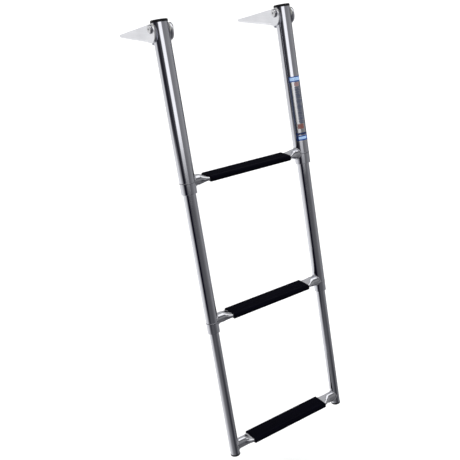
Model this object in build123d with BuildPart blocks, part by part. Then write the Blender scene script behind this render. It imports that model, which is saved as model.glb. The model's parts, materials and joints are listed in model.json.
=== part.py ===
from build123d import *
import os
from math import cos, radians, sin

# Three-step telescoping boarding ladder that hinges on two platform brackets.
#
# Frame: X runs along the steps, +Y points at the boat, +Z is up. The origin is the centre of the four
# screw holes, on the underside of the bracket bases. The ladder hangs from its hinge with its foot
# kicked out towards -Y, away from the boat. A "height" is measured along the rails from the hinge
# axis, positive towards the caps, so nearly every height on the ladder is negative.

os.makedirs("parts", exist_ok=True)

# ---- driving dimensions, mm and degrees ----

rail_spacing = 283.0          # between the two rail axes
lean = 10.5                   # of the hanging rails from vertical
cap_height = 15.0             # top of the caps above the hinge axis
outer_seam = -288.0           # end of the outer rails, where the middle rails come out
middle_seam = -575.0          # end of the middle rails, where the inner rails come out
foot_height = -875.0          # underside of the foot plugs
middle_travel = 246.0         # how far the middle section slides up
inner_travel = 241.0          # how far the inner section slides up in the middle one

outer_tube = (31.75, 29.25)   # outside and inside diameter of each rail tube
middle_tube = (25.4, 23.0)
inner_tube = (20.0, 17.6)
slide_gap = 0.3               # radial gap between a sliding tube or ring and what it slides in
seat_gap = 0.05               # radial gap between pieces that are pressed or welded together
seam_chamfer = 0.6            # on both sides of each seam, leaving a fine groove

collar_length = 22.0
liner_above_seam = 12.0       # how far a liner reaches up inside the rail
piston_length = 14.0
piston_rest_gap = 0.3         # between a piston and the liner that stops it
rivet_diameter = 3.2
rivet_head = (4.6, 0.55)      # diameter, thickness
rivet_tail = (4.8, 1.4)

step_end_half = (11.1, 11.1)  # half width and half height of a step's round ends
narrow_end_half = (9.3, 12.2)  # of the bottom step's ends, squeezed to fit the inner rails
step_wall = 1.5
step_flat_half = (11.45, 3.8)  # half width of the flat faces, half thickness of the flattened tube
step_crown = 0.3              # rise of the flat faces in the middle
top_step_above_seam = 1.0
middle_step_above_seam = 4.0
bottom_step_above_foot = 21.0
flat_half_length = 99.0       # of the flattened middle
round_start = 119.0           # where the step tube is round again
tread_half_length = 98.0
tread_half_flat = (13.85, 6.0)  # half width of the flat faces, half thickness without the crown
tread_crown = 0.3

cap_rim = (33.0, 5.2)         # diameter, thickness
cap_round = 2.1               # radius of the rounded top edge of a cap
cap_plug_length = 3.4
foot_rim = (20.6, 4.0)
foot_plug_length = 14.0
plug_wall = 2.2

hinge_above_base = 25.0
hinge_to_holes = 75.0         # from the hinge axis back to the centre of the screw holes
ear_gap = 34.8
plate = 3.0
bend_radius = 4.5             # outside radius of the fold between base and ear
nose_radius = 16.5
nose_offset = 2.6             # centre of the nose behind the hinge axis
tip_radius = 3.3
tip_offset = 130.0            # rearmost point of the bracket behind the hinge axis
base_front = 12.6             # front edge of the base behind the hinge axis: the ladder's stop
lip = (24.0, 6.0)             # width, depth below the base, of the tongue folded down at its front edge
screw_spacing = 60.0
screw_hole = 7.0

barrel_diameter = 8.0
barrel_hole = 8.4
barrel_bore = (5.1, 22.0)     # diameter, depth, for the screw
barrel_gap = 0.3              # between the barrel's end and the screw's head
screw_shank = (5.0, 20.0)     # diameter, length of the hinge screw
pivot_head = (15.0, 2.8)      # diameter, thickness of the low heads of the barrel and the screw
head_round = 1.9              # radius of the rounded rim of a head
head_socket = (4.0, 1.6)      # across flats, depth
steel_washer = (17.0, 8.4, 1.2)
nylon_washer = (18.0, 8.4, 1.0)
sleeve_tube = (12.0, 8.2)
sleeve_end_gap = 0.1          # between the hinge sleeve and each nylon washer

label_bottom = -264.0
label_length = 135.0
label_half_angle = 63.0
label_thickness = 0.25

# ---- places worked out from them ----

hinge_y = -hinge_to_holes
hinge_z = hinge_above_base
rail_up = Vector(0, sin(radians(lean)), cos(radians(lean)))
rail_back = Vector(0, cos(radians(lean)), -sin(radians(lean)))
sides = {"left": -1, "right": 1}
ear_outside = ear_gap / 2 + plate


def rail_point(x, height):
    """The point at this height on the line of a rail."""
    return Vector(x, hinge_y, hinge_z) + rail_up * height


def rail_plane(x, height):
    """A plane square to a rail, facing up it."""
    return Plane(origin=rail_point(x, height), x_dir=(1, 0, 0), z_dir=rail_up)


def across_plane(x, height, towards):
    """A plane through the line of a rail, facing backwards (1) or forwards (-1)."""
    return Plane(origin=rail_point(x, height), x_dir=(1, 0, 0), z_dir=rail_back * towards)


def hinge_plane(x):
    """A plane square to the hinge axis, facing +X, with its origin on the axis."""
    return Plane(origin=(x, hinge_y, hinge_z), x_dir=(0, 1, 0), z_dir=(1, 0, 0))


def step_plane(x, height):
    """A plane square to a step, facing +X, level with the bracket bases."""
    return Plane(origin=rail_point(x, height), x_dir=(0, 1, 0), z_dir=(1, 0, 0))


def write(builder, name):
    """Label a finished piece and write its file."""
    builder.part.label = name
    export_step(builder.part, f"parts/{name}.step")


def tube(x, bottom, top, outside, inside, bottom_chamfer=0.0, top_chamfer=0.0):
    """A tube on the line of a rail, its outer edges chamfered where asked."""
    with BuildPart() as piece:
        with BuildSketch(rail_plane(x, bottom)):
            Circle(outside / 2)
        extrude(amount=top - bottom)
        rims = piece.edges().filter_by(GeomType.CIRCLE).sort_by(Axis((0, 0, 0), rail_up))
        if bottom_chamfer:
            chamfer(rims[0], bottom_chamfer)
        if top_chamfer:
            chamfer(rims[-1], top_chamfer)
        with BuildSketch(rail_plane(x, bottom)):
            Circle(inside / 2)
        extrude(amount=top - bottom, mode=Mode.SUBTRACT)
    return piece


def outline(plane, corner_y, corner_z, side_y, crown_z):
    """A closed outline of four arcs: flat top and bottom faces and rounded sides."""
    with BuildSketch(plane) as face:
        with BuildLine():
            ThreePointArc((-corner_y, corner_z), (0, crown_z), (corner_y, corner_z))
            ThreePointArc((corner_y, corner_z), (side_y, 0), (corner_y, -corner_z))
            ThreePointArc((corner_y, -corner_z), (0, -crown_z), (-corner_y, -corner_z))
            ThreePointArc((-corner_y, -corner_z), (-side_y, 0), (-corner_y, corner_z))
        make_face()
    return face.sketch


def step_outline(x, height, end_half, flatness, inset):
    """The step tube's section, from its round end (flatness 0) to fully flattened (1)."""
    end_y = end_half[0] - inset
    end_z = end_half[1] - inset
    flat_y = step_flat_half[0]
    flat_z = step_flat_half[1] - inset
    shapes = [
        (end_y * cos(radians(45)), flat_y),
        (end_z * sin(radians(45)), flat_z),
        (end_y, flat_y + flat_z),
        (end_z, flat_z + step_crown),
    ]
    blended = [a + (b - a) * flatness for a, b in shapes]
    return outline(step_plane(x, height), *blended)


def step_bar(height, end_half, inset):
    """The space inside the step tube's outer surface, or inside its bore if inset by the wall."""
    stations = 6
    with BuildPart() as bar:
        flat = step_outline(-flat_half_length, height, end_half, 1.0, inset)
        extrude(flat, amount=2 * flat_half_length)
        for sign in sides.values():
            sections = []
            for i in range(stations + 1):
                t = i / stations
                x = sign * (round_start + (flat_half_length - round_start) * t)
                ease = t * t * (3 - 2 * t)
                sections.append(step_outline(x, height, end_half, ease, inset))
            loft(sections=sections)
            first_x = min(sign * round_start, sign * rail_spacing / 2)
            round_end = step_outline(first_x, height, end_half, 0.0, inset)
            extrude(round_end, amount=rail_spacing / 2 - round_start)
    return bar.part


def make_step(name, height, rail_diameter, end_half):
    """A tube flattened in the middle, its round ends coped to fit against the rails."""
    reach = 2 * end_half[1]
    with BuildPart() as step:
        add(step_bar(height, end_half, 0.0))
        add(step_bar(height, end_half, step_wall), mode=Mode.SUBTRACT)
        for sign in sides.values():
            with BuildSketch(rail_plane(sign * rail_spacing / 2, height - reach)):
                Circle(rail_diameter / 2)
            extrude(amount=2 * reach, mode=Mode.SUBTRACT)
    write(step, name)


def make_tread(name, height):
    """A soft sleeve around the flattened part of a step."""
    end = step_plane(-tread_half_length, height)
    length = 2 * tread_half_length
    corner_y, corner_z = tread_half_flat
    hole_y, hole_z = step_flat_half[0], step_flat_half[1] + seat_gap
    with BuildPart() as tread:
        outside = outline(end, corner_y, corner_z, corner_y + corner_z, corner_z + tread_crown)
        extrude(outside, amount=length)
        hole = outline(end, hole_y, hole_z, hole_y + hole_z, hole_z + step_crown)
        extrude(hole, amount=length, mode=Mode.SUBTRACT)
    write(tread, name)


def make_guide(side, x, section, seam, tube_size, next_tube):
    """The collar below a seam and the nylon liner inside it, which guides the next tube."""
    outside, inside = tube_size
    collar = tube(x, seam - collar_length, seam, outside, inside, seam_chamfer, seam_chamfer)
    write(collar, f"{side}_{section}_collar")
    liner = tube(
        x,
        seam - collar_length,
        seam + liner_above_seam,
        inside - 2 * seat_gap,
        next_tube[0] + 2 * slide_gap,
    )
    write(liner, f"{side}_{section}_liner")


def make_sliding_top(side, x, section, seam_above, lower_end, tube_size, guide_inside):
    """A sliding rail, the nylon piston on its top end and the two rivets that hold the piston."""
    outside, inside = tube_size
    piston_bottom = seam_above + liner_above_seam + piston_rest_gap
    top = piston_bottom + piston_length
    rivet_height = piston_bottom + piston_length / 2
    piston_outside = guide_inside - 2 * slide_gap
    head_diameter, head_thickness = rivet_head
    tail_diameter, tail_length = rivet_tail
    hole = rivet_diameter + 2 * seat_gap

    # The flat rivet heads and tails stay clear of the curved walls beside them.
    head_face = (piston_outside**2 - head_diameter**2) ** 0.5 / 2 - seat_gap
    tail_face = (inside**2 - tail_diameter**2) ** 0.5 / 2 - seat_gap

    lower_chamfer = seam_chamfer if section == "middle" else 0.0
    with BuildPart() as rail:
        add(tube(x, lower_end, top, outside, inside, lower_chamfer).part)
        with BuildSketch(across_plane(x, rivet_height, 1)):
            Circle(hole / 2)
        extrude(amount=outside, both=True, mode=Mode.SUBTRACT)
    write(rail, f"{side}_{section}_rail")

    with BuildPart() as piston:
        add(tube(x, piston_bottom, top, piston_outside, outside + 2 * seat_gap).part)
        with BuildSketch(across_plane(x, rivet_height, 1)):
            Circle(hole / 2)
        extrude(amount=piston_outside, both=True, mode=Mode.SUBTRACT)
        for towards in (1, -1):
            with BuildSketch(across_plane(x, rivet_height, towards).offset(head_face - head_thickness)):
                Circle(head_diameter / 2 + seat_gap)
            extrude(amount=piston_outside, mode=Mode.SUBTRACT)
    write(piston, f"{side}_{section}_piston")

    with BuildPart() as rivets:
        for towards in (1, -1):
            facing = across_plane(x, rivet_height, towards)
            with BuildSketch(facing.offset(tail_face - tail_length)):
                Circle(tail_diameter / 2)
            extrude(amount=tail_length)
            with BuildSketch(facing.offset(tail_face)):
                Circle(rivet_diameter / 2)
            extrude(amount=head_face - tail_face)
            with BuildSketch(facing.offset(head_face - head_thickness)):
                Circle(head_diameter / 2)
            extrude(amount=head_thickness)
    write(rivets, f"{side}_{section}_piston_rivets")


def make_bracket(side, x):
    """A folded channel: two teardrop ears on a base plate that ends short of the rail."""
    nose_y = hinge_y + nose_offset
    tip_y = hinge_y + tip_offset - tip_radius
    front_y = hinge_y + base_front
    inner_bend = bend_radius - plate
    with BuildPart() as bracket:
        with BuildSketch(Plane.YZ.offset(x - ear_outside)):
            with Locations((nose_y, nose_radius)):
                Circle(nose_radius)
            with Locations((tip_y, tip_radius)):
                Circle(tip_radius)
            make_hull()
        extrude(amount=2 * ear_outside)

        # The channel between the ears, with the inside of the two folds.
        with BuildSketch(Plane.XZ.offset(-front_y)):
            with Locations((x, plate + nose_radius)):
                channel = Rectangle(ear_gap, 2 * nose_radius)
            fillet(channel.vertices().group_by(Axis.Y)[0], inner_bend)
        extrude(amount=-tip_offset, mode=Mode.SUBTRACT)

        # In front of the base there are only the ears.
        with BuildSketch(Plane.XZ.offset(-front_y)):
            with Locations((x, nose_radius)):
                Rectangle(ear_gap, 4 * nose_radius)
        extrude(amount=2 * nose_radius + base_front, mode=Mode.SUBTRACT)

        # The outside of the two folds.
        with BuildSketch(Plane.XZ.offset(-front_y)):
            for sign in sides.values():
                with Locations((x + sign * (ear_outside - bend_radius / 2), bend_radius / 2)):
                    Rectangle(bend_radius, bend_radius)
            for sign in sides.values():
                with Locations((x + sign * (ear_outside - bend_radius), bend_radius)):
                    Circle(bend_radius, mode=Mode.SUBTRACT)
        extrude(amount=-tip_offset, mode=Mode.SUBTRACT)

        # The tongue folded down at the front edge of the base.
        lip_width, lip_depth = lip
        with BuildSketch(Plane.XZ.offset(-front_y)):
            with Locations((x, (plate - lip_depth) / 2)):
                tongue = Rectangle(lip_width, plate + lip_depth)
            fillet(tongue.vertices().group_by(Axis.Y)[0], plate)
        extrude(amount=-plate)

        with BuildSketch(hinge_plane(x - ear_outside)):
            Circle(barrel_hole / 2)
        extrude(amount=2 * ear_outside, mode=Mode.SUBTRACT)
        with BuildSketch(Plane.XY):
            with Locations((x, -screw_spacing / 2), (x, screw_spacing / 2)):
                Circle(screw_hole / 2)
        extrude(amount=plate, mode=Mode.SUBTRACT)
    write(bracket, f"{side}_bracket")


def washers(x, inner_face, size):
    """Two washers on the hinge axis, one each side, each starting at inner_face from the rail."""
    outside, inside, thickness = size
    with BuildPart() as pair:
        for start in (inner_face, -inner_face - thickness):
            with BuildSketch(hinge_plane(x + start)):
                Circle(outside / 2)
                Circle(inside / 2, mode=Mode.SUBTRACT)
            extrude(amount=thickness)
    return pair


def low_head(facing, start):
    """A low head with a rounded rim and a hex socket, its flat side this far along the hinge axis."""
    head_diameter, head_thickness = pivot_head
    socket_flats, socket_depth = head_socket
    with BuildPart() as head:
        with BuildSketch(facing.offset(start)):
            Circle(head_diameter / 2)
        extrude(amount=head_thickness)
        rims = head.edges().filter_by(GeomType.CIRCLE).sort_by(Axis(facing.origin, facing.z_dir))
        fillet(rims[-1], head_round)
        with BuildSketch(facing.offset(start + head_thickness - socket_depth)):
            RegularPolygon(socket_flats / 2, 6, major_radius=False)
        extrude(amount=socket_depth, mode=Mode.SUBTRACT)
    return head.part


def make_hinge(side, x, outward):
    """The hinge barrel, the screw in its inboard end, their washers and the welded sleeve."""
    stack = ear_outside + steel_washer[2]
    outboard = Plane(origin=(x, hinge_y, hinge_z), x_dir=(0, 1, 0), z_dir=(outward, 0, 0))
    inboard = Plane(origin=(x, hinge_y, hinge_z), x_dir=(0, 1, 0), z_dir=(-outward, 0, 0))

    barrel_end = stack - barrel_gap
    bore_diameter, bore_depth = barrel_bore
    with BuildPart() as barrel:
        add(low_head(outboard, stack))
        with BuildSketch(inboard.offset(-stack)):
            Circle(barrel_diameter / 2)
        extrude(amount=stack + barrel_end)
        with BuildSketch(inboard.offset(barrel_end - bore_depth)):
            Circle(bore_diameter / 2)
        extrude(amount=bore_depth, mode=Mode.SUBTRACT)
    write(barrel, f"{side}_hinge_barrel")

    shank_diameter, shank_length = screw_shank
    with BuildPart() as screw:
        add(low_head(inboard, stack))
        with BuildSketch(inboard.offset(stack - shank_length)):
            Circle(shank_diameter / 2)
        extrude(amount=shank_length)
    write(screw, f"{side}_hinge_screw")

    write(washers(x, ear_outside, steel_washer), f"{side}_steel_washers")
    nylon_face = ear_gap / 2 - nylon_washer[2]
    write(washers(x, nylon_face, nylon_washer), f"{side}_nylon_washers")

    sleeve_half = nylon_face - sleeve_end_gap
    with BuildPart() as sleeve:
        with BuildSketch(hinge_plane(x - sleeve_half)):
            Circle(sleeve_tube[0] / 2)
            Circle(sleeve_tube[1] / 2, mode=Mode.SUBTRACT)
        extrude(amount=2 * sleeve_half)
    write(sleeve, f"{side}_hinge_sleeve")


def make_outer_rail(side, x):
    """The thickest tube, drilled across for the hinge sleeve."""
    with BuildPart() as rail:
        add(tube(x, outer_seam, cap_height - cap_rim[1], *outer_tube, seam_chamfer).part)
        with BuildSketch(hinge_plane(x)):
            Circle(sleeve_tube[0] / 2 + seat_gap)
        extrude(amount=outer_tube[0], both=True, mode=Mode.SUBTRACT)
    write(rail, f"{side}_outer_rail")


def make_top_cap(side, x):
    """A round-edged rim on a hollow plug that is pushed into the outer rail."""
    rim_diameter, rim_thickness = cap_rim
    rim_bottom = cap_height - rim_thickness
    plug_diameter = outer_tube[1] - 2 * seat_gap
    with BuildPart() as cap:
        with BuildSketch(rail_plane(x, rim_bottom)):
            Circle(rim_diameter / 2)
        extrude(amount=rim_thickness)
        rims = cap.edges().filter_by(GeomType.CIRCLE).sort_by(Axis((0, 0, 0), rail_up))
        fillet(rims[-1], cap_round)
        fillet(rims[0], 0.4)
        with BuildSketch(rail_plane(x, rim_bottom - cap_plug_length)):
            Circle(plug_diameter / 2)
            Circle(plug_diameter / 2 - plug_wall, mode=Mode.SUBTRACT)
        extrude(amount=cap_plug_length)
    write(cap, f"{side}_top_cap")


def make_foot(side, x):
    """A round-edged rim under a hollow plug that is pushed into the inner rail."""
    rim_diameter, rim_thickness = foot_rim
    plug_diameter = inner_tube[1] - 2 * seat_gap
    with BuildPart() as foot:
        with BuildSketch(rail_plane(x, foot_height)):
            Circle(rim_diameter / 2)
        extrude(amount=rim_thickness)
        rims = foot.edges().filter_by(GeomType.CIRCLE).sort_by(Axis((0, 0, 0), rail_up))
        fillet(rims[0], rim_thickness * 0.4)
        with BuildSketch(rail_plane(x, foot_height + rim_thickness)):
            Circle(plug_diameter / 2)
            Circle(plug_diameter / 2 - plug_wall, mode=Mode.SUBTRACT)
        extrude(amount=foot_plug_length)
    write(foot, f"{side}_foot_plug")


def make_label():
    """A thin sticker wrapped around the front of the right outer rail."""
    inside = outer_tube[0] / 2
    outside = inside + label_thickness
    start = -90 - label_half_angle
    with BuildPart() as label:
        with BuildSketch(rail_plane(rail_spacing / 2, label_bottom)):
            with BuildLine():
                back = CenterArc((0, 0), inside, start, 2 * label_half_angle)
                face = CenterArc((0, 0), outside, start, 2 * label_half_angle)
                Line(back @ 0, face @ 0)
                Line(back @ 1, face @ 1)
            make_face()
        extrude(amount=label_length)
    write(label, "rail_label")


# ---- the pieces ----

for side, sign in sides.items():
    rail_x = sign * rail_spacing / 2

    make_bracket(side, rail_x)
    make_hinge(side, rail_x, sign)

    make_outer_rail(side, rail_x)
    make_top_cap(side, rail_x)
    make_guide(side, rail_x, "outer", outer_seam, outer_tube, middle_tube)

    make_sliding_top(side, rail_x, "middle", outer_seam, middle_seam, middle_tube, outer_tube[1])
    make_guide(side, rail_x, "middle", middle_seam, middle_tube, inner_tube)

    inner_end = foot_height + foot_rim[1]
    make_sliding_top(side, rail_x, "inner", middle_seam, inner_end, inner_tube, middle_tube[1])
    make_foot(side, rail_x)

steps = {
    "top": (outer_seam + top_step_above_seam, outer_tube[0], step_end_half),
    "middle": (middle_seam + middle_step_above_seam, middle_tube[0], step_end_half),
    "bottom": (foot_height + bottom_step_above_foot, inner_tube[0], narrow_end_half),
}
for place, (step_height, rail_diameter, end_half) in steps.items():
    make_step(f"{place}_step", step_height, rail_diameter, end_half)
    make_tread(f"{place}_tread", step_height)

make_label()

# ---- room left between each step and the collar above it when the ladder is closed ----

for place, collar_seam, travel in (
    ("middle", outer_seam, middle_travel),
    ("bottom", middle_seam, inner_travel),
):
    step_top = steps[place][0] + steps[place][2][1]
    room = collar_seam - collar_length - travel - step_top
    print(f"{place} step stops {room:.2f} mm below the collar")
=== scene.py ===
import json
import math

import bpy
from mathutils import Matrix, Vector


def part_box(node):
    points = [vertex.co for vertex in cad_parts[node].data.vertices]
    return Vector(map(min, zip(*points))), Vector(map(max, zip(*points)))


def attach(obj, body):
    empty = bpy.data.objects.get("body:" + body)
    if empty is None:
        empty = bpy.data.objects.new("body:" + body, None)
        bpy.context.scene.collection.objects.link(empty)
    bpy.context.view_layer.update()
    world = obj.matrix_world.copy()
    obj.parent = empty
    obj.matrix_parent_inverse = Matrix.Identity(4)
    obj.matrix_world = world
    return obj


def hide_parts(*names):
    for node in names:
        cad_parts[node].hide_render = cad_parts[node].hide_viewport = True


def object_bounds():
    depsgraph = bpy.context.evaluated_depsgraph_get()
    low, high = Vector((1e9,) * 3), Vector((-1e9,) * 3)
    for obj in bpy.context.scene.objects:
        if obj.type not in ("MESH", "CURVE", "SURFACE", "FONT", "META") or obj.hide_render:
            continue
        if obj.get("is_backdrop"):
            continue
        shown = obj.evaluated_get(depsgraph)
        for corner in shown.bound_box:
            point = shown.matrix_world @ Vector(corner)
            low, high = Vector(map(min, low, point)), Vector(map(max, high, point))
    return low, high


# Looks of a three-step telescoping boarding ladder. Lengths are in metres, in the frame of the CAD part:
# X along the steps, +Y towards the boat, +Z up. A "height" is measured along the rails from the hinge.

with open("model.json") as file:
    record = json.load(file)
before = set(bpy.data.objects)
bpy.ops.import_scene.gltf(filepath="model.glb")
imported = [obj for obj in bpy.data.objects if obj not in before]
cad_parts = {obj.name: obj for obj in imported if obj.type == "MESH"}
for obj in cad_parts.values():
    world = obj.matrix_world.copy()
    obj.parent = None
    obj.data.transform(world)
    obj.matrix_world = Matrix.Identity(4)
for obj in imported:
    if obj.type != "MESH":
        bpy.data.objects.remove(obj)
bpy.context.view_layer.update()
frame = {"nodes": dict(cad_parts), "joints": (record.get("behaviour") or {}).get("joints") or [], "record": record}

MM = 0.001
SIDES = {"left": -1, "right": 1}
SECTIONS = {"top": "outer", "middle": "middle", "bottom": "inner"}

joints = {joint["name"]: joint for joint in frame["joints"]}
mounts = {mount["name"]: mount for mount in frame["record"]["mounts"]}

HINGE = Vector(joints["ladder_swing"]["pos_m"])
RAIL_UP = Vector(joints["middle_slide"]["axis"]).normalized()
RAIL_BACK = Vector((0, RAIL_UP.z, -RAIL_UP.y))
RAIL_X = mounts["platform_screws"]["dims"]["spacing_x_mm"] * MM / 2
LEAN = math.atan2(RAIL_UP.y, RAIL_UP.z)


# ---- small helpers for meshes ----


def mesh_piece(name, points, faces, materials, smooth=True):
    """A new object from points and faces in the part's frame."""
    mesh = bpy.data.meshes.new(name)
    mesh.from_pydata([tuple(point) for point in points], [], faces)
    for material in materials:
        mesh.materials.append(material)
    mesh.validate()
    mesh.polygons.foreach_set("use_smooth", [smooth] * len(mesh.polygons))
    mesh.update()
    piece = bpy.data.objects.new(name, mesh)
    bpy.context.scene.collection.objects.link(piece)
    return piece


def ring_faces(rings, around):
    """Quads between neighbouring rings of points, the last ring joined to the first."""
    faces = []
    for i in range(rings):
        here, there = i * around, (i + 1) % rings * around
        for j in range(around):
            k = (j + 1) % around
            faces.append((here + j, here + k, there + k, there + j))
    return faces


def sharpen(piece, degrees=35):
    """Smooth shading that stays sharp at edges steeper than this."""
    piece.data.set_sharp_from_angle(angle=math.radians(degrees))


def soften_edges(piece, width, segments=2, degrees=40):
    """Rounds the hard edges of a piece a little, as deburring does, without moving its faces."""
    weld = piece.modifiers.new("weld", "WELD")
    weld.merge_threshold = 1e-6
    bevel = piece.modifiers.new("deburr", "BEVEL")
    bevel.width = width
    bevel.segments = segments
    bevel.limit_method = "ANGLE"
    bevel.angle_limit = math.radians(degrees)
    bevel.harden_normals = True
    bevel.use_clamp_overlap = True


def place(piece, body, slot, *replaced):
    """Rides a piece on its body and hides the CAD nodes that it stands for. Its slot is not used."""
    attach(piece, body)
    if replaced:
        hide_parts(*replaced)


def extent_along_rail(node):
    """Lowest and highest height of a CAD node along the rails."""
    heights = [(v.co - HINGE).dot(RAIL_UP) for v in frame["nodes"][node].data.vertices]
    return min(heights), max(heights)


# ---- materials ----


def new_material(name):
    """A new material with its node tree and its shader node."""
    material = bpy.data.materials.new(name)
    material.use_nodes = True
    tree = material.node_tree
    shader = next(n for n in tree.nodes if n.type == "BSDF_PRINCIPLED")
    return material, tree, shader


def add_node(tree, kind, inputs=None, **settings):
    """A node with its settings and input values."""
    node = tree.nodes.new(kind)
    for key, value in settings.items():
        setattr(node, key, value)
    for key, value in (inputs or {}).items():
        node.inputs[key].default_value = value
    return node


def ramp(tree, factor, stops):
    """A colour ramp of (position, grey or colour) stops."""
    node = tree.nodes.new("ShaderNodeValToRGB")
    elements = node.color_ramp.elements
    while len(elements) < len(stops):
        elements.new(1.0)
    for element, (position, colour) in zip(elements, stops):
        grey = isinstance(colour, (int, float))
        element.position = position
        element.color = (colour, colour, colour, 1) if grey else (*colour, 1)
    tree.links.new(factor, node.inputs["Fac"])
    return node.outputs["Color"]


def stretched(tree, scale, turn=(0, 0, 0)):
    """Coordinates on the piece, turned and then scaled unevenly, so that noise becomes grain."""
    source = add_node(tree, "ShaderNodeTexCoord")
    turned = add_node(tree, "ShaderNodeMapping", {"Rotation": turn})
    scaled = add_node(tree, "ShaderNodeMapping", {"Scale": scale})
    tree.links.new(source.outputs["Object"], turned.inputs["Vector"])
    tree.links.new(turned.outputs["Vector"], scaled.inputs["Vector"])
    return scaled.outputs["Vector"]


def noise(tree, vector, scale, detail=4.0, roughness=0.55):
    """A noise pattern, its scale in features per metre."""
    node = add_node(
        tree, "ShaderNodeTexNoise", {"Scale": scale, "Detail": detail, "Roughness": roughness}
    )
    tree.links.new(vector, node.inputs["Vector"])
    return node.outputs["Fac"]


def bump(tree, shader, height, strength, distance):
    """Relief on the surface, its distance in metres."""
    node = add_node(tree, "ShaderNodeBump", {"Strength": strength, "Distance": distance})
    tree.links.new(height, node.inputs["Height"])
    tree.links.new(node.outputs["Normal"], shader.inputs["Normal"])


def polished_steel(name, colour, rough, grain_scale, turn):
    """Polished stainless tube: faint draw lines along its length and slightly cloudy polish."""
    material, tree, shader = new_material(name)
    shader.inputs["Metallic"].default_value = 1.0
    lines = noise(tree, stretched(tree, grain_scale, turn), 1.0, 3.0, 0.6)
    clouds = noise(tree, stretched(tree, (1, 1, 1)), 38.0, 3.0, 0.5)
    low, high = rough
    tint = ramp(tree, clouds, [(0.30, [c * 0.94 for c in colour]), (0.70, colour)])
    tree.links.new(tint, shader.inputs["Base Color"])
    spread = ramp(tree, clouds, [(0.35, low), (0.75, high)])
    tree.links.new(spread, shader.inputs["Roughness"])
    bump(tree, shader, lines, 0.10, 0.00008)
    return material


def satin_steel(name, colour):
    """Sheet stainless with a brushed satin finish, its grain along the bracket."""
    material, tree, shader = new_material(name)
    shader.inputs["Metallic"].default_value = 1.0
    grain = noise(tree, stretched(tree, (60, 14, 900)), 1.0, 4.0, 0.7)
    clouds = noise(tree, stretched(tree, (1, 1, 1)), 30.0, 3.0, 0.5)
    tint = ramp(tree, grain, [(0.25, [c * 0.90 for c in colour]), (0.75, colour)])
    tree.links.new(tint, shader.inputs["Base Color"])
    tree.links.new(ramp(tree, clouds, [(0.3, 0.34), (0.7, 0.46)]), shader.inputs["Roughness"])
    bump(tree, shader, grain, 0.25, 0.00006)
    return material


def fastener_steel(name, colour):
    """Turned and tumbled fasteners: bright, with fine scuffs."""
    material, tree, shader = new_material(name)
    shader.inputs["Metallic"].default_value = 1.0
    scuffs = noise(tree, stretched(tree, (1, 1, 1)), 900.0, 4.0, 0.65)
    tint = ramp(tree, scuffs, [(0.3, [c * 0.82 for c in colour]), (0.65, colour)])
    tree.links.new(tint, shader.inputs["Base Color"])
    tree.links.new(ramp(tree, scuffs, [(0.3, 0.18), (0.7, 0.34)]), shader.inputs["Roughness"])
    bump(tree, shader, scuffs, 0.12, 0.00005)
    return material


def tread_rubber(name, colour, worn, dust):
    """Moulded black tread: fine grain, rubbed patches, and a sheen of dust."""
    material, tree, shader = new_material(name)
    grain = noise(tree, stretched(tree, (1, 1, 1)), 2600.0, 2.0, 0.5)
    patches = noise(tree, stretched(tree, (0.6, 1.6, 1.6)), 70.0, 5.0, 0.62)
    tree.links.new(ramp(tree, patches, [(0.35, colour), (0.72, worn)]), shader.inputs["Base Color"])
    tree.links.new(ramp(tree, patches, [(0.3, 0.55), (0.7, 0.70)]), shader.inputs["Roughness"])
    shader.inputs["Specular IOR Level"].default_value = 0.03
    shader.inputs["Sheen Weight"].default_value = 0.07
    shader.inputs["Sheen Roughness"].default_value = 0.22
    shader.inputs["Sheen Tint"].default_value = (*dust, 1)
    bump(tree, shader, grain, 0.35, 0.00018)
    return material


def moulded_plastic(name, colour, paler, rough, grain_size):
    """Injection-moulded plastic with a fine spark texture."""
    material, tree, shader = new_material(name)
    grain = noise(tree, stretched(tree, (1, 1, 1)), grain_size, 3.0, 0.5)
    clouds = noise(tree, stretched(tree, (1, 1, 1)), 90.0, 3.0, 0.55)
    tree.links.new(ramp(tree, clouds, [(0.3, colour), (0.7, paler)]), shader.inputs["Base Color"])
    low, high = rough
    tree.links.new(ramp(tree, grain, [(0.3, low), (0.7, high)]), shader.inputs["Roughness"])
    shader.inputs["Specular IOR Level"].default_value = 0.22
    bump(tree, shader, grain, 0.2, 0.0001)
    return material


def label_film(name):
    """Printed film under a clear gloss: the print is held in the mesh's own colour layer."""
    material, tree, shader = new_material(name)
    print_layer = add_node(tree, "ShaderNodeVertexColor", layer_name="print")
    mottle = noise(tree, stretched(tree, (1, 1, 1)), 420.0, 3.0, 0.6)
    shade = ramp(tree, mottle, [(0.3, 0.86), (0.7, 1.0)])
    mix = add_node(tree, "ShaderNodeMix", data_type="RGBA", blend_type="MULTIPLY")
    mix.inputs[0].default_value = 1.0
    tree.links.new(print_layer.outputs["Color"], mix.inputs[6])
    tree.links.new(shade, mix.inputs[7])
    tree.links.new(mix.outputs[2], shader.inputs["Base Color"])
    tree.links.new(ramp(tree, mottle, [(0.3, 0.16), (0.7, 0.26)]), shader.inputs["Roughness"])
    tree.links.new(print_layer.outputs["Alpha"], shader.inputs["Metallic"])
    shader.inputs["Coat Weight"].default_value = 0.2
    shader.inputs["Coat Roughness"].default_value = 0.08
    return material


# The draw lines of a tube are fine across it and long along it, in lines per metre.
LINES_ACROSS = 700
LINES_ALONG = 9

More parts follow.
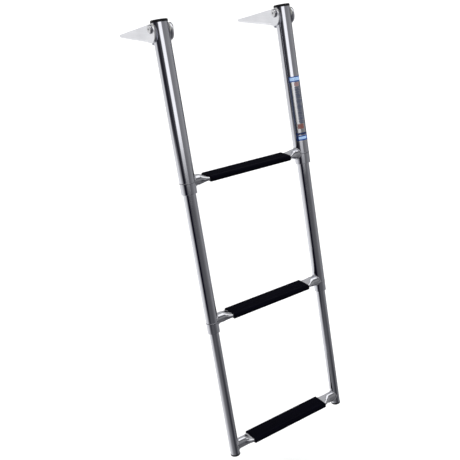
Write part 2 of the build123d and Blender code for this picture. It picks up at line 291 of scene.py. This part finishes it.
rail_steel = polished_steel(
    "rail_steel",
    colour=(0.585, 0.59, 0.635),
    rough=(0.05, 0.10),
    grain_scale=(LINES_ACROSS, LINES_ACROSS, LINES_ALONG),
    turn=(-LEAN, 0, 0),
)
step_steel = polished_steel(
    "step_steel",
    colour=(0.66, 0.665, 0.70),
    rough=(0.12, 0.20),
    grain_scale=(LINES_ALONG, LINES_ACROSS, LINES_ACROSS),
    turn=(0, 0, 0),
)
# The washers' steel is coloured dark as painted shade: a painted shadow ring round the bolt heads and nuts.
washer_painted_shade_steel = fastener_steel("washer_painted_shade_steel", (0.26, 0.26, 0.30))
weld_steel = fastener_steel("weld_steel", (0.50, 0.50, 0.53))
seam_steel = fastener_steel("seam_steel", (0.34, 0.34, 0.37))
bracket_steel = satin_steel("bracket_steel", (0.88, 0.885, 0.92))
bolt_steel = fastener_steel("bolt_steel", (0.68, 0.68, 0.70))
tread_black = tread_rubber(
    "tread_black",
    colour=(0.0005, 0.0005, 0.0022),
    worn=(0.0018, 0.0018, 0.0050),
    dust=(0.80, 0.82, 1.0),
)
plastic_black = moulded_plastic(
    "plastic_black",
    colour=(0.003, 0.003, 0.004),
    paler=(0.008, 0.008, 0.010),
    rough=(0.32, 0.45),
    grain_size=1400,
)
nylon_white = moulded_plastic(
    "nylon_white",
    colour=(0.66, 0.66, 0.62),
    paler=(0.78, 0.78, 0.75),
    rough=(0.38, 0.5),
    grain_size=900,
)
printed_film = label_film("printed_film")

SLOT_MATERIALS = {
    "polished_stainless": rail_steel,
    "satin_stainless": bracket_steel,
    "fastener_steel": bolt_steel,
    "black_tread": tread_black,
    "black_plastic": plastic_black,
    "white_nylon": nylon_white,
    "label_film": printed_film,
}


def dress_cad_nodes():
    """Gives every CAD node the material of its slot, and softens the edges that show."""
    slots = {row["node"]: row["material_slot"] for row in frame["record"]["subparts"]}
    for node, piece in frame["nodes"].items():
        material = SLOT_MATERIALS[slots[node]]
        if node.endswith("_step"):
            material = step_steel
        # The washers take the darkened steel, painted shade around the heads.
        if node.endswith("_steel_washers"):
            material = washer_painted_shade_steel
        for i in range(len(piece.data.materials)):
            piece.data.materials[i] = material
    for side in SIDES:
        soften_edges(frame["nodes"][f"{side}_bracket"], 0.45 * MM, 3)
        soften_edges(frame["nodes"][f"{side}_steel_washers"], 0.25 * MM)
        soften_edges(frame["nodes"][f"{side}_nylon_washers"], 0.15 * MM)
        soften_edges(frame["nodes"][f"{side}_hinge_barrel"], 0.2 * MM)
        soften_edges(frame["nodes"][f"{side}_hinge_screw"], 0.2 * MM)


# ---- treads ----

RIB_PITCH = 2.3 * MM
RIB_DEPTH = 0.4 * MM
RIB_FADE = 1.5 * MM           # the ribs die out over this distance from the round sides
RIB_SHAPE = 0.6               # under 1, the grooves are wider than the ribs
TREAD_EDGE = 0.9 * MM         # radius of the rounded ends
TREAD_CROWN = 0.3 * MM
SLOT_HALF_THICK = 4.15 * MM   # half height of the slot for the flattened step
SLOT_GAP = 0.05 * MM
FACE_POINTS = 120             # along each flat face of a tread's section
SIDE_POINTS = 14              # around each of its round sides


def tread_outline(half_width, half_thick, rib_depth):
    """Points around a tread's section: crowned flat faces with ribs, and round sides."""
    side = half_thick - TREAD_CROWN
    flat = half_width - side
    points = []
    for face in (1, -1):
        for i in range(FACE_POINTS + 1):
            y = face * flat * (1 - 2 * i / FACE_POINTS)
            crown = TREAD_CROWN * (1 - (y / flat) ** 2)
            wave = 0.5 - 0.5 * math.cos(2 * math.pi * y / RIB_PITCH)
            fade = min(1.0, (flat - abs(y)) / RIB_FADE)
            points.append((y, face * (side + crown - rib_depth * wave**RIB_SHAPE * fade)))
        for i in range(1, SIDE_POINTS):
            angle = math.pi * (face * 0.5 + i / SIDE_POINTS)
            points.append((side * math.cos(angle) - face * flat, side * math.sin(angle)))
    return points


def tread(name):
    """A ribbed sleeve with rounded ends and the slot that the flattened step passes through."""
    low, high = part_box(f"{name}_tread")
    step_low, step_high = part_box(f"{name}_step")
    centre = (low + high) / 2
    half_long, half_width, half_thick = (high - low) / 2

    rows = []
    turns = 6
    for i in range(turns + 1):
        angle = math.pi / 2 * i / turns
        x = TREAD_EDGE * (1 - math.cos(angle)) - half_long
        rows.append((x, TREAD_EDGE * (1 - math.sin(angle))))
    rows += [(x * half_long, 0.0) for x in (-0.8, -0.4, 0.0)]
    rows += [(-x, inset) for x, inset in reversed(rows[:-1])]

    points = []
    for x, inset in rows:
        ribs = RIB_DEPTH * (1 - inset / TREAD_EDGE)
        for y, z in tread_outline(half_width - inset, half_thick - inset, ribs):
            points.append(centre + Vector((x, y, z)))
    around = len(points) // len(rows)
    slot_half_width = (step_high.y - step_low.y) / 2 + SLOT_GAP
    for x in (half_long, -half_long):
        for y, z in tread_outline(slot_half_width, SLOT_HALF_THICK, 0.0):
            points.append(centre + Vector((x, y, z)))
    faces = ring_faces(len(rows) + 2, around)
    faces = [tuple(reversed(face)) for face in faces]
    piece = mesh_piece(f"{name}_tread_ribbed", points, faces, [tread_black])
    sharpen(piece, 50)
    place(piece, section_body(name), "black_tread", f"{name}_tread")


def section_body(step_name):
    """The body that a step and its tread belong to."""
    return f"{SECTIONS[step_name]}_section"


# ---- welds between the steps and the rails, and beads over the seams of the rails ----

# Half width and half height of each step's round ends, in millimetres.
STEP_END_HALF = {"top": (11.1, 11.1), "middle": (11.1, 11.1), "bottom": (9.3, 12.2)}
WELDED_TO = {"top": "outer_collar", "middle": "middle_collar", "bottom": "inner_rail"}
WELD_RADIUS = 1.5 * MM
SEAM_HALF = (0.5 * MM, 0.9 * MM)    # half thickness out from the rail, half width along it


def weld(step_name, side):
    """A rippled bead that follows the saddle where a round step end meets its rail."""
    sign = SIDES[side]
    low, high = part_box(f"{step_name}_step")
    centre_z = (low.z + high.z) / 2
    centre_y = (low.y + high.y) / 2
    along = 200
    around = 12
    tube_low, tube_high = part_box(f"{side}_{WELDED_TO[step_name]}")
    rail_radius = (tube_high.x - tube_low.x) / 2
    half_y, half_z = (value * MM for value in STEP_END_HALF[step_name])

    def on_saddle(t, grow=0.0):
        """A point on the saddle, or on one that is larger all round by grow."""
        y = (half_y + grow) * math.cos(t)
        z = (half_z + grow) * math.sin(t)
        across = y * math.cos(LEAN) - z * math.sin(LEAN)
        reach = math.sqrt(max(rail_radius**2 - across**2, 0.0))
        return Vector((sign * (RAIL_X - reach), centre_y + y, centre_z + z))

    points = []
    for i in range(along):
        t = 2 * math.pi * i / along
        here = on_saddle(t)
        ahead = (on_saddle(t + 0.01) - on_saddle(t - 0.01)).normalized()
        outward = (on_saddle(t, 1 * MM) - here).normalized()
        side_way = ahead.cross(outward).normalized()
        ripple = 1 + 0.10 * math.sin(t * 34) + 0.05 * math.sin(t * 5 + 1.3)
        for j in range(around):
            angle = 2 * math.pi * j / around
            offset = outward * math.cos(angle) + side_way * math.sin(angle)
            points.append(here + offset * WELD_RADIUS * ripple)
    piece = mesh_piece(f"{side}_{step_name}_weld", points, ring_faces(along, around), [weld_steel])
    place(piece, section_body(step_name), "polished_stainless")


def seam_ring(side, node, section, place_name):
    """A thin bead around the rail, over the seam between a rail and its collar."""
    seam = extent_along_rail(f"{side}_{node}_collar")[1]
    collar_low, collar_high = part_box(f"{side}_{node}_collar")
    rail_radius = (collar_high.x - collar_low.x) / 2
    centre = HINGE + Vector((SIDES[side] * RAIL_X, 0, 0)) + RAIL_UP * seam
    along = 120
    around = 12
    points = []
    for i in range(along):
        angle = 2 * math.pi * i / along
        outward = Vector((math.sin(angle), 0, 0)) + RAIL_BACK * math.cos(angle)
        swell = 1 + 0.08 * math.sin(angle * 31) + 0.05 * math.sin(angle * 4 + 0.7)
        for j in range(around):
            bead = 2 * math.pi * j / around
            offset = outward * math.cos(bead) * SEAM_HALF[0] + RAIL_UP * math.sin(bead) * SEAM_HALF[1]
            points.append(centre + outward * rail_radius + offset * swell)
    piece = mesh_piece(f"{side}_{place_name}", points, ring_faces(along, around), [seam_steel])
    place(piece, section, "polished_stainless")


# ---- label ----

# Colours of the print. The fourth value is how metallic it is.
SILVER = (0.62, 0.62, 0.64, 1.0)
NAVY = (0.006, 0.020, 0.085, 0.0)
BLUE = (0.020, 0.075, 0.300, 0.0)
SKY_BLUE = (0.42, 0.62, 0.92, 0.0)
INK = (0.045, 0.060, 0.110, 0.0)
ROSE = (0.300, 0.190, 0.190, 0.0)
RUST = (0.210, 0.085, 0.075, 0.0)


def label_blocks():
    """Plain blocks of the print: lowest, highest, leftmost and rightmost share of the film, and colour."""
    blocks = [(0.155, 0.92, 0.00, 0.05, INK), (0.155, 0.92, 0.70, 1.00, NAVY)]
    lines = 34
    lowest, highest = 0.29, 0.845
    thick = 0.0115
    for i in range(lines):
        low = lowest + (highest - lowest) * i / lines
        ragged = 0.06 * ((i * 7) % 5) / 4
        blocks.append((low, low + thick, 0.29, 0.66 - ragged, INK))
        blocks.append((low, low + thick, 0.05, 0.13 - ragged / 2, INK))
    return blocks + [
        (0.022, 0.100, 0.00, 1.00, BLUE),
        (0.022, 0.100, 0.00, 0.15, NAVY),
        (0.045, 0.080, 0.15, 0.68, SKY_BLUE),
        (0.110, 0.145, 0.00, 1.00, NAVY),
        (0.205, 0.278, 0.18, 0.56, RUST),
        (0.852, 0.908, 0.30, 0.63, ROSE),
        (0.920, 1.000, 0.00, 1.00, BLUE),
        (0.920, 1.000, 0.00, 0.08, NAVY),
        (0.936, 0.986, 0.09, 0.76, SKY_BLUE),
    ]


def label():
    """The film around the front of the right outer rail, printed with plain blocks and lines."""
    bottom, top = extent_along_rail("rail_label")
    axis_point = HINGE + Vector((RAIL_X, 0, 0))
    radii = []
    angles = []
    for vertex in frame["nodes"]["rail_label"].data.vertices:
        offset = vertex.co - axis_point
        offset -= RAIL_UP * offset.dot(RAIL_UP)
        radii.append(offset.length)
        angles.append(math.atan2(offset.x, -offset.dot(RAIL_BACK)))
    inner, outer = min(radii), max(radii)
    start, end = min(angles), max(angles)
    across, up = 60, 270

    def point(i, j, radius):
        angle = start + (end - start) * i / across
        height = bottom + (top - bottom) * j / up
        out = Vector((math.sin(angle), 0, 0)) - RAIL_BACK * math.cos(angle)
        return axis_point + RAIL_UP * height + out * radius

    points = [point(i, j, outer) for j in range(up + 1) for i in range(across + 1)]
    front = len(points)
    points += [point(i, j, inner) for j in range(up + 1) for i in range(across + 1)]
    faces = []
    shares = []
    row = across + 1
    for j in range(up):
        for i in range(across):
            a = j * row + i
            faces.append((a, a + 1, a + row + 1, a + row))
            shares.append(((i + 0.5) / across, (j + 0.5) / up))
            b = a + front
            faces.append((b, b + row, b + row + 1, b + 1))
            shares.append(None)
    rim = list(range(across + 1))
    rim += [j * row + across for j in range(1, up + 1)]
    rim += [up * row + i for i in range(across - 1, -1, -1)]
    rim += [j * row for j in range(up - 1, 0, -1)]
    for here, there in zip(rim, rim[1:] + rim[:1]):
        faces.append((here, here + front, there + front, there))
        shares.append(None)
    piece = mesh_piece("rail_label_printed", points, faces, [printed_film])
    layer = piece.data.color_attributes.new("print", "FLOAT_COLOR", "CORNER")
    blocks = label_blocks()
    for face, share in zip(piece.data.polygons, shares):
        colour = SILVER
        if share is not None:
            u, v = share
            for low, high, left, right, ink in blocks:
                if low <= v < high and left <= u < right:
                    colour = ink
        for corner in face.loop_indices:
            layer.data[corner].color = colour
    sharpen(piece, 50)
    place(piece, "outer_section", "label_film", "rail_label")


# ---- studio ----


# Brightness of the studio around the ladder, as (degrees, brightness) pairs in six rows, from the ceiling
# down to the ground. 0 degrees is straight in front of the ladder and 90 is towards +X.
TOP_ROW = [(-180, 0.60), (-100, 0.60), (-75, 1.5), (78, 1.5), (105, 0.60), (180, 0.60)]
HIGH_ROW = [(-180, 0.50), (-110, 0.50), (-80, 0.10), (85, 0.10), (115, 0.50), (180, 0.50)]
EYE_ROW = [
    (-180, 1.0), (-125, 1.0), (-110, 0.05), (-85, 0.02), (-58, 0.09), (-50, 0.15),
    (-41, 1.6), (-8, 1.6), (2, 0.31), (30, 0.31), (60, 0.40), (85, 0.42),
    (100, 0.15), (145, 0.15), (155, 1.0), (180, 1.0),
]
LOW_ROW = [
    (-180, 1.2), (-137, 1.2), (-104, 0.70), (-86, 0.06), (-78, 0.0), (-62, 0.0),
    (-52, 0.08), (-31, 0.13), (4, 0.15), (29, 0.23), (58, 0.36), (97, 0.28),
    (125, 1.0), (180, 1.2),
]
GROUND_ROW = [
    (-180, 1.1), (-122, 1.0), (-97, 0.62), (-72, 0.30), (-48, 0.22), (-28, 0.17),
    (-8, 0.06), (16, 0.05), (38, 0.16), (62, 0.29), (97, 0.20), (125, 1.0), (180, 1.1),
]
UNDER_ROW = [(-180, 0.16), (180, 0.16)]
BRIGHTEST = 2.0               # the ramps hold shares of this, because they stop at 1
SHADOW_BLUE = 0.009           # extra blue, most in the darkest places


def studio_world():
    """A soft studio: one tall bright strip and darker screens. The camera sees plain white instead."""
    world = bpy.data.worlds.new("studio")
    world.use_nodes = True
    bpy.context.scene.world = world
    tree = world.node_tree
    background = next(n for n in tree.nodes if n.type == "BACKGROUND")
    source = add_node(tree, "ShaderNodeTexCoord")

    def pointing(axis):
        """How far a ray's direction points along an axis of the hanging ladder."""
        node = add_node(tree, "ShaderNodeVectorMath", operation="DOT_PRODUCT")
        tree.links.new(source.outputs["Generated"], node.inputs[0])
        node.inputs[1].default_value = axis
        return node.outputs["Value"]

    heading = add_node(tree, "ShaderNodeMath", operation="ARCTAN2")
    tree.links.new(pointing((1, 0, 0)), heading.inputs[0])
    tree.links.new(pointing(-RAIL_BACK), heading.inputs[1])
    share = add_node(tree, "ShaderNodeMath", operation="MULTIPLY_ADD")
    share.inputs[1].default_value = 1 / (2 * math.pi)
    share.inputs[2].default_value = 0.5
    tree.links.new(heading.outputs[0], share.inputs[0])
    rise = add_node(tree, "ShaderNodeMath", operation="MULTIPLY_ADD")
    rise.inputs[1].default_value = 0.5
    rise.inputs[2].default_value = 0.5
    tree.links.new(pointing(RAIL_UP), rise.inputs[0])

    def row(stops):
        """One row of brightness around the ladder, its shadows a little blue."""
        levels = []
        for degrees, grey in stops:
            blue = grey + SHADOW_BLUE * max(0.0, 1 - grey)
            colour = (grey / BRIGHTEST, grey / BRIGHTEST, blue / BRIGHTEST)
            levels.append((degrees / 360 + 0.5, colour))
        return ramp(tree, share.outputs[0], levels)

    def blend(start, end, lower, upper):
        """From the lower to the upper row as the direction rises from start to end."""
        node = add_node(tree, "ShaderNodeMix", data_type="RGBA")
        share_up = ramp(tree, rise.outputs[0], [(start / 2 + 0.5, 0.0), (end / 2 + 0.5, 1.0)])
        tree.links.new(share_up, node.inputs[0])
        tree.links.new(lower, node.inputs[6])
        tree.links.new(upper, node.inputs[7])
        return node.outputs[2]

    studio = blend(-0.85, -0.62, row(UNDER_ROW), row(GROUND_ROW))
    studio = blend(-0.45, -0.33, studio, row(LOW_ROW))
    studio = blend(-0.175, -0.08, studio, row(EYE_ROW))
    studio = blend(0.12, 0.36, studio, row(HIGH_ROW))
    studio = blend(0.55, 0.66, studio, row(TOP_ROW))
    seen = add_node(tree, "ShaderNodeLightPath")
    backdrop = add_node(tree, "ShaderNodeMix", data_type="RGBA")
    backdrop.inputs[7].default_value = (1, 1, 1, 1)
    tree.links.new(seen.outputs["Is Camera Ray"], backdrop.inputs[0])
    tree.links.new(studio, backdrop.inputs[6])
    tree.links.new(backdrop.outputs[2], background.inputs["Color"])
    background.inputs["Strength"].default_value = BRIGHTEST


def studio_floor():
    """A plain pale floor under the ladder, with room below the feet."""
    size = 60.0
    drop = 150 * MM
    floor_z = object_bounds()[0].z - drop
    cells = 12
    points = []
    for j in range(cells + 1):
        for i in range(cells + 1):
            points.append(((i / cells - 0.5) * size, (j / cells - 0.5) * size, floor_z))
    faces = []
    for j in range(cells):
        for i in range(cells):
            a = j * (cells + 1) + i
            faces.append((a, a + 1, a + cells + 2, a + cells + 1))
    material, tree, shader = new_material("floor_paint")
    patches = noise(tree, stretched(tree, (1, 1, 1)), 3.0, 3.0, 0.5)
    tree.links.new(ramp(tree, patches, [(0.3, 0.93), (0.7, 0.95)]), shader.inputs["Base Color"])
    shader.inputs["Roughness"].default_value = 0.9
    shader.inputs["Specular IOR Level"].default_value = 0.1
    floor = mesh_piece("studio_floor", points, faces, [material], smooth=False)
    floor.visible_glossy = False
    floor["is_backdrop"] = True


def studio_light():
    """One wide soft light from above, for the floor and the matt pieces."""
    data = bpy.data.lights.new("overhead", "SUN")
    data.energy = 1.75
    data.angle = math.radians(70)
    lamp = bpy.data.objects.new("overhead", data)
    bpy.context.scene.collection.objects.link(lamp)
    lamp.rotation_euler = (math.radians(-8), math.radians(6), 0)
    lamp.visible_glossy = False


def camera():
    """The viewing angle: in front of the ladder and to its left, a little above its top."""
    right = Vector((0.821660, -0.567213, -0.056065))
    up = Vector((0.259734, 0.285050, 0.922651))
    back = right.cross(up)
    place_held = Vector((-0.777884, -1.234201, 0.164952))
    data = bpy.data.cameras.new("camera")
    data.sensor_width = 36
    data.lens = 54.87
    viewer = bpy.data.objects.new("camera", data)
    bpy.context.scene.collection.objects.link(viewer)
    matrix = Matrix((right, up, back)).transposed().to_4x4()
    matrix.translation = place_held
    viewer.matrix_world = matrix
    bpy.context.scene.camera = viewer


dress_cad_nodes()
for step in SECTIONS:
    tread(step)
    for side in SIDES:
        weld(step, side)
for side in SIDES:
    seam_ring(side, "outer", "outer_section", "outer_seam_bead")
    seam_ring(side, "middle", "middle_section", "middle_seam_bead")
label()

studio_world()
studio_floor()
studio_light()
camera()
bpy.context.scene.view_settings.view_transform = "Standard"
